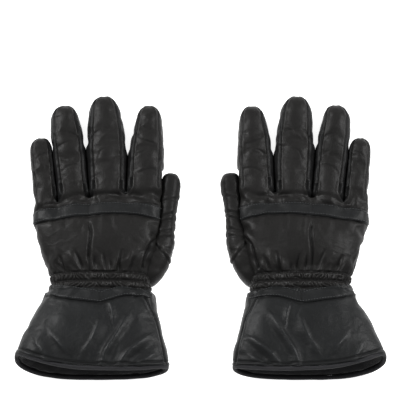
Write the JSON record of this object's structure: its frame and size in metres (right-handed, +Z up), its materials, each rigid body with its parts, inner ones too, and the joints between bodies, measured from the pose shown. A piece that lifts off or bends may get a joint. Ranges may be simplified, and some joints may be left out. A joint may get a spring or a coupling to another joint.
{
  "type": "leather gauntlet gloves",
  "caption": "Pair of lined black leather gauntlet gloves with an elasticated wrist, a raised knuckle strip and flared, bound cuffs.",
  "frame": {"origin": "on the table under the middle of the pair, halfway along its length", "axes": "+X from the left glove to the right glove, +Y from the gauntlets' mouths to the fingertips, +Z up from the table through the palms to the backs"},
  "size_m": [0.352, 0.2815, 0.045],
  "materials": {
    "hand_leather": "semi-gloss, fine-grained black leather with soft creases",
    "palm_leather": "semi-matt black leather",
    "gauntlet_leather": "semi-gloss black leather with a cool cast",
    "fourchette_leather": "thin, softer black leather",
    "elastic": "gathered leather over woven elastic",
    "lining": "matt black brushed lining over thin wadding",
    "binding": "matt black binding tape"
  },
  "bodies": {
    "left_hand": {"left_hand_back": "hand_leather", "left_palm": "palm_leather", "left_knuckle_strip": "gauntlet_leather", "left_wrist_elastic": "elastic", "left_hand_lining": "lining", "left_thumb_gusset": "hand_leather"},
    "left_cuff": {"left_wrist_band": "gauntlet_leather", "left_gauntlet_back": "gauntlet_leather", "left_gauntlet_palm": "palm_leather", "left_cuff_lining": "lining", "left_cuff_binding": "binding"},
    "left_thumb": {"left_thumb_back": "hand_leather", "left_thumb_front": "palm_leather", "left_thumb_lining": "lining"},
    "left_index": {"left_index_back": "hand_leather", "left_index_front": "palm_leather", "left_index_fourchettes": "fourchette_leather", "left_index_lining": "lining"},
    "left_middle": {"left_middle_back": "hand_leather", "left_middle_front": "palm_leather", "left_middle_fourchettes": "fourchette_leather", "left_middle_lining": "lining"},
    "left_ring": {"left_ring_back": "hand_leather", "left_ring_front": "palm_leather", "left_ring_fourchettes": "fourchette_leather", "left_ring_lining": "lining"},
    "left_little": {"left_little_back": "hand_leather", "left_little_front": "palm_leather", "left_little_fourchettes": "fourchette_leather", "left_little_lining": "lining"},
    "right_hand": {"right_hand_back": "hand_leather", "right_palm": "palm_leather", "right_knuckle_strip": "gauntlet_leather", "right_wrist_elastic": "elastic", "right_hand_lining": "lining", "right_thumb_gusset": "hand_leather"},
    "right_cuff": {"right_wrist_band": "gauntlet_leather", "right_gauntlet_back": "gauntlet_leather", "right_gauntlet_palm": "palm_leather", "right_cuff_lining": "lining", "right_cuff_binding": "binding"},
    "right_thumb": {"right_thumb_back": "hand_leather", "right_thumb_front": "palm_leather", "right_thumb_lining": "lining"},
    "right_index": {"right_index_back": "hand_leather", "right_index_front": "palm_leather", "right_index_fourchettes": "fourchette_leather", "right_index_lining": "lining"},
    "right_middle": {"right_middle_back": "hand_leather", "right_middle_front": "palm_leather", "right_middle_fourchettes": "fourchette_leather", "right_middle_lining": "lining"},
    "right_ring": {"right_ring_back": "hand_leather", "right_ring_front": "palm_leather", "right_ring_fourchettes": "fourchette_leather", "right_ring_lining": "lining"},
    "right_little": {"right_little_back": "hand_leather", "right_little_front": "palm_leather", "right_little_fourchettes": "fourchette_leather", "right_little_lining": "lining"}
  },
  "joints": [
    {"name": "left_wrist_bend", "type": "hinge", "parent": "left_hand", "child": "left_cuff", "pos_m": [-0.0955, -0.04721, 0.017], "axis": [1, 0, 0], "range_deg": [-35, 35], "deforming": ["left_wrist_elastic"]},
    {"name": "left_thumb_swing", "type": "hinge", "parent": "left_hand", "child": "left_thumb", "pos_m": [-0.025, -0.01021, 0.011], "axis": [0, 0, -1], "range_deg": [0, 25]},
    {"name": "left_index_bend", "type": "hinge", "parent": "left_hand", "child": "left_index", "pos_m": [-0.0515, 0.04599, 0.01], "axis": [-0.9995, 0.0332, 0], "range_deg": [0, 70]},
    {"name": "left_middle_bend", "type": "hinge", "parent": "left_hand", "child": "left_middle", "pos_m": [-0.0879, 0.04299, 0.01], "axis": [-0.9991, -0.0419, 0], "range_deg": [0, 70]},
    {"name": "left_ring_bend", "type": "hinge", "parent": "left_hand", "child": "left_ring", "pos_m": [-0.1205, 0.04029, 0.01], "axis": [-0.9966, -0.0819, 0], "range_deg": [0, 70]},
    {"name": "left_little_bend", "type": "hinge", "parent": "left_hand", "child": "left_little", "pos_m": [-0.1474, 0.03779, 0.01], "axis": [-0.9984, -0.0558, 0], "range_deg": [0, 70]},
    {"name": "right_wrist_bend", "type": "hinge", "parent": "right_hand", "child": "right_cuff", "pos_m": [0.0955, -0.04721, 0.017], "axis": [1, 0, 0], "range_deg": [-35, 35], "deforming": ["right_wrist_elastic"]},
    {"name": "right_thumb_swing", "type": "hinge", "parent": "right_hand", "child": "right_thumb", "pos_m": [0.025, -0.01021, 0.011], "axis": [0, 0, 1], "range_deg": [0, 25]},
    {"name": "right_index_bend", "type": "hinge", "parent": "right_hand", "child": "right_index", "pos_m": [0.0515, 0.04599, 0.01], "axis": [-0.9995, -0.0332, 0], "range_deg": [0, 70]},
    {"name": "right_middle_bend", "type": "hinge", "parent": "right_hand", "child": "right_middle", "pos_m": [0.0879, 0.04299, 0.01], "axis": [-0.9991, 0.0419, 0], "range_deg": [0, 70]},
    {"name": "right_ring_bend", "type": "hinge", "parent": "right_hand", "child": "right_ring", "pos_m": [0.1205, 0.04029, 0.01], "axis": [-0.9966, 0.0819, 0], "range_deg": [0, 70]},
    {"name": "right_little_bend", "type": "hinge", "parent": "right_hand", "child": "right_little", "pos_m": [0.1474, 0.03779, 0.01], "axis": [-0.9984, 0.0558, 0], "range_deg": [0, 70]},
    {"name": "right_glove_lift", "type": "slide", "parent": "left_hand", "child": "right_hand", "axis": [0, 0, 1], "range_m": [0, 0.15]}
  ]
}
